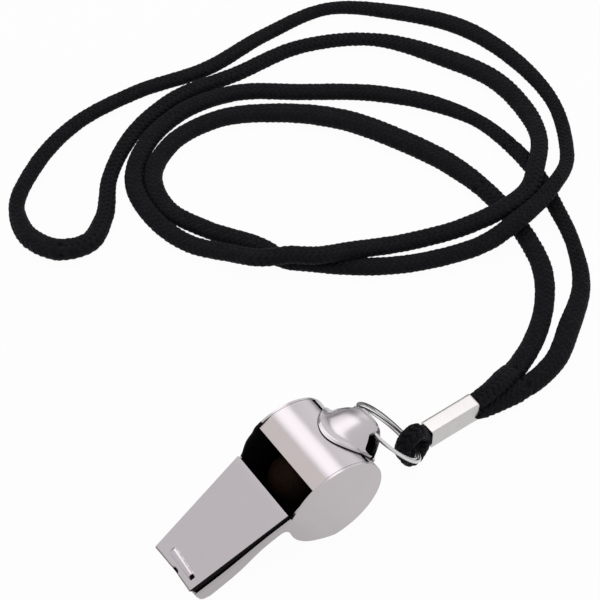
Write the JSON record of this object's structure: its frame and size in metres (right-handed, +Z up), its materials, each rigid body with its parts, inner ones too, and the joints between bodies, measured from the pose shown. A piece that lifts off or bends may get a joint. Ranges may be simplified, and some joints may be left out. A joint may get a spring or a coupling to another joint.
{
  "type": "sports whistle",
  "caption": "Metal pea whistle with a lug and split ring, a crimped ferrule and a flat braided neck cord lying in loose loops beside it.",
  "frame": {"origin": "on the floor, under the middle of the whistle and its ring, the cord left out", "axes": "+Z up, -X towards the mouth, Y along the drum's axis with the left side plate at +Y"},
  "size_m": [0.1508, 0.1308, 0.0221],
  "materials": {
    "nickel_plate": "bright nickel plate with a soft polish",
    "ring_wire": "polished spring wire",
    "ferrule_steel": "plated and crimped sheet",
    "cork": "raw cork",
    "braid": "flat braided cord, matt"
  },
  "bodies": {
    "whistle": {"side_plate_left": "nickel_plate", "side_plate_right": "nickel_plate", "upper_band": "nickel_plate", "lower_band": "nickel_plate", "mouthpiece_cover": "nickel_plate", "windway_floor": "nickel_plate", "lug_upper": "nickel_plate", "lug_lower": "nickel_plate", "cord_lead_right": "braid", "cord_lead_left": "braid", "neck_cord_right": "braid", "neck_cord_left": "braid"},
    "pea": {"cork_pea": "cork"},
    "ring": {"split_ring": "ring_wire"},
    "clip": {"ferrule": "ferrule_steel", "ring_bight": "braid"}
  },
  "joints": [
    {"name": "pea_orbit", "type": "hinge", "parent": "whistle", "child": "pea", "pos_m": [0.00476, 0.0033, 0.011], "axis": [0, 1, 0], "continuous": true},
    {"name": "ring_swing", "type": "hinge", "parent": "whistle", "child": "ring", "pos_m": [0.01766, -0.0017, 0.01824], "axis": [0, -1, 0], "range_deg": [0, 60], "deforming": ["cord_lead_right", "cord_lead_left"]},
    {"name": "clip_swing", "type": "hinge", "parent": "ring", "child": "clip", "pos_m": [0.028, -0.0017, 0.00538], "axis": [0, -1, 0], "range_deg": [0, 30], "deforming": ["cord_lead_right", "cord_lead_left"]}
  ]
}
